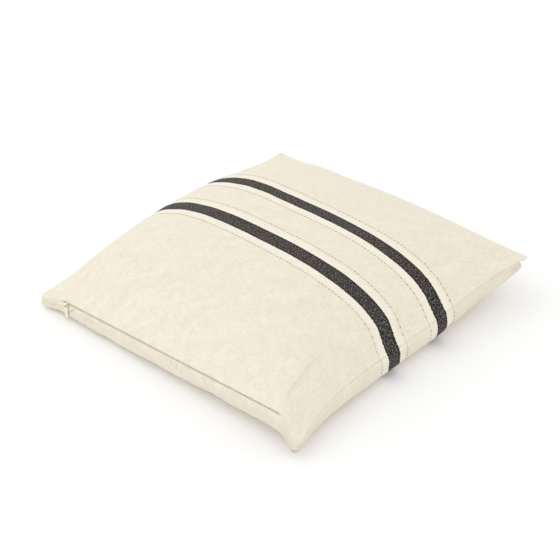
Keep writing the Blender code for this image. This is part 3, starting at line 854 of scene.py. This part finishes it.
def metal(name, base, worn):
    """Plated metal, a little rubbed."""
    g = Graph(name, Metallic=1.0)
    x, y, z = g.object_mm()
    rub = g.noise(g.combine(x, g.math("MULTIPLY", y, 2.0), g.math("MULTIPLY", z, 2.0)), 0.8, 4.0)
    g.colour(g.mix(g.ramp(rub, 0.35, 0.7), base, worn))
    g.put(g.shader.inputs["Roughness"], g.math("MULTIPLY_ADD", rub, 0.3, 0.20))
    g.bump(g.noise(g.combine(x, y, z), 6.0, 2.0), 0.00002, 0.5)
    return g.mat


def enamel(name, paint, thin):
    """Cream enamel over metal, thinner here and there."""
    g = Graph(name, Specular_IOR_Level=0.5, Coat_Weight=0.35, Coat_Roughness=0.15)
    x, y, z = g.object_mm()
    pool = g.noise(g.combine(x, y, z), 0.6, 4.0)
    g.colour(g.mix(g.ramp(pool, 0.30, 0.62), thin, paint))
    g.put(g.shader.inputs["Roughness"], g.math("MULTIPLY_ADD", pool, 0.25, 0.22))
    g.bump(g.noise(g.combine(x, y, z), 2.5, 2.0), 0.00004, 0.5)
    return g.mat


def cotton(name, light, dark, pitch):
    """Fine plain-woven cotton."""
    g = Graph(name, Roughness=0.9, Specular_IOR_Level=0.2, Sheen_Weight=0.1)
    x, y, z = g.object_mm()
    height = g.weave(g.math("MULTIPLY_ADD", z, 0.5, x), g.math("MULTIPLY_ADD", z, 0.5, y), pitch)
    cloud = g.noise(g.combine(x, y, z), 0.05, 4.0)
    shade = g.math("MULTIPLY_ADD", height, 0.4, g.math("MULTIPLY", cloud, 0.7), clamp=True)
    g.colour(g.mix(shade, dark, light))
    g.bump(height, 0.0001, 0.6)
    return g.mat


def fibre(name, light, dark):
    """Loose fibre: tangled strands and soft lumps."""
    g = Graph(name, Roughness=1.0, Specular_IOR_Level=0.1, Sheen_Weight=0.4, Sheen_Roughness=0.6)
    x, y, z = g.object_mm()
    wisp = g.noise(g.combine(x, y, z), 0.06, 2.0)
    push = g.math("MULTIPLY", wisp, 40.0)
    strands = g.noise(g.combine(g.math("MULTIPLY", g.math("ADD", x, push), 0.15),
                                g.math("MULTIPLY", g.math("SUBTRACT", y, push), 1.2), z), 1.0, 4.0, 0.7)
    g.colour(g.mix(strands, dark, light))
    g.bump(g.math("MULTIPLY_ADD", wisp, 2.0, strands), 0.0008, 0.8)
    return g.mat


LINEN = striped_linen()
HEM_LINEN = cotton("hem_linen", rgb(246, 239, 221), rgb(214, 204, 182), YARN_PITCH)
PICK_YARN = yarn("pick_yarn", rgb(108, 101, 92), rgb(58, 53, 49), 0.6)
SEWING = yarn("sewing_thread", rgb(240, 232, 213), rgb(206, 196, 172), 0.5)
WHITE_THREAD = yarn("insert_thread", rgb(246, 244, 240), rgb(214, 212, 208), 0.4)
ZIP_TAPE = tape("zip_tape", rgb(238, 230, 210), rgb(205, 195, 170), 0.8)
LABEL = tape("label_tape", rgb(248, 247, 243), rgb(222, 220, 214), 0.35)
COIL = moulded("zip_coil", rgb(240, 233, 216), rgb(218, 208, 186), 0.38)
STOPS = metal("zip_metal", rgb(188, 170, 132), rgb(214, 202, 172))
ENAMEL = enamel("zip_enamel", rgb(240, 233, 216), rgb(220, 211, 190))
CASING = cotton("insert_cotton", rgb(248, 247, 244), rgb(226, 225, 220), 0.45)
FIBRE = fibre("fibre_filling", rgb(250, 250, 248), rgb(218, 218, 214))

# by the whole key in pieces, or else by its first word
PIECE_MATERIAL = {"cover": LINEN, "hem": HEM_LINEN, "picks": PICK_YARN, "allowance": HEM_LINEN,
                  "label": LABEL, "overlock": SEWING, "insert": CASING, "filling": FIBRE,
                  "insert_stitches": WHITE_THREAD}
for key, piece in pieces.items():
    piece.data.materials.append(PIECE_MATERIAL.get(key) or PIECE_MATERIAL[key.split("_")[0]])

NODE_MATERIAL = {"zip_stitching_front": SEWING, "zip_stitching_back": SEWING, "zip_tape_front": ZIP_TAPE,
                 "zip_tape_back": ZIP_TAPE, "zip_coil_front": COIL, "zip_coil_back": COIL,
                 "zip_top_stop_front": STOPS, "zip_top_stop_back": STOPS, "zip_bottom_stop": STOPS,
                 "zip_slider": ENAMEL, "zip_pull": ENAMEL}
for node, mat in NODE_MATERIAL.items():
    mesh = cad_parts[node].data
    mesh.materials.clear()
    mesh.materials.append(mat)

# ---- floor, light, camera -----------------------------------------------------------------------
floor_mesh = bpy.data.meshes.new("studio_floor")
floor_mesh.from_pydata([(-6, -6, 0), (6, -6, 0), (6, 6, 0), (-6, 6, 0)], [], [(0, 1, 2, 3)])
floor = bpy.data.objects.new("studio_floor", floor_mesh)
bpy.context.scene.collection.objects.link(floor)
g = Graph("pale_floor", Base_Color=(0.88, 0.88, 0.88, 1.0), Roughness=0.8, Specular_IOR_Level=0.1,
          Emission_Color=(1.0, 1.0, 1.0, 1.0), Emission_Strength=0.06)
floor_mesh.materials.append(g.mat)

# soft studio light from all round, a little stronger from above and the front
LIGHT_LEAN = (-0.15, -0.30, 0.60)
LIGHT_LEAN_SHARE, LIGHT_LEVEL = 0.20, 0.97
KEY_POWER, KEY_SIZE = 7, 1.8
KEY_PLACE, KEY_AIM = Vector((-1.6, -0.8, 2.2)), Vector((0, 0, 0.05))

world = bpy.data.worlds.new("studio")
world.use_nodes = True
tree = world.node_tree
toward = tree.nodes.new("ShaderNodeVectorMath")
toward.operation = "DOT_PRODUCT"
toward.inputs[1].default_value = LIGHT_LEAN
strength = tree.nodes.new("ShaderNodeMath")
strength.operation = "MULTIPLY_ADD"
strength.inputs[1].default_value = LIGHT_LEAN_SHARE
strength.inputs[2].default_value = LIGHT_LEVEL
tree.links.new(tree.nodes.new("ShaderNodeTexCoord").outputs["Generated"], toward.inputs[0])
tree.links.new(toward.outputs["Value"], strength.inputs[0])
tree.links.new(strength.outputs[0], tree.nodes["Background"].inputs["Strength"])
tree.nodes["Background"].inputs["Color"].default_value = (1, 1, 1, 1)
bpy.context.scene.world = world

key_data = bpy.data.lights.new("key", "AREA")
key_data.energy = KEY_POWER
key_data.shape = "SQUARE"
key_data.size = KEY_SIZE
key = bpy.data.objects.new("key", key_data)
bpy.context.scene.collection.objects.link(key)
key.location = KEY_PLACE
key.rotation_euler = (KEY_AIM - KEY_PLACE).to_track_quat("-Z", "Y").to_euler()

# back_axis points from the aim to the camera
back_axis = Vector((math.sin(CAM_AZ) * math.cos(CAM_EL), -math.cos(CAM_AZ) * math.cos(CAM_EL),
                    math.sin(CAM_EL)))
right_axis = Vector((math.cos(CAM_AZ), math.sin(CAM_AZ), 0.0))
up_axis = back_axis.cross(right_axis)
place = (right_axis * CAM_AIM_RIGHT + up_axis * CAM_AIM_UP + back_axis * CAM_DIST
         + Vector((0, 0, CAM_AIM_Z)))
cam_data = bpy.data.cameras.new("camera")
cam_data.lens = CAM_LENS
cam_data.sensor_width = 36.0
cam_data.sensor_fit = "HORIZONTAL"
cam = bpy.data.objects.new("camera", cam_data)
bpy.context.scene.collection.objects.link(cam)
turn = Matrix((right_axis, up_axis, back_axis)).transposed().to_4x4()
cam.matrix_world = Matrix.Translation(place) @ turn
bpy.context.scene.camera = cam
bpy.context.scene.view_settings.view_transform = "Standard"
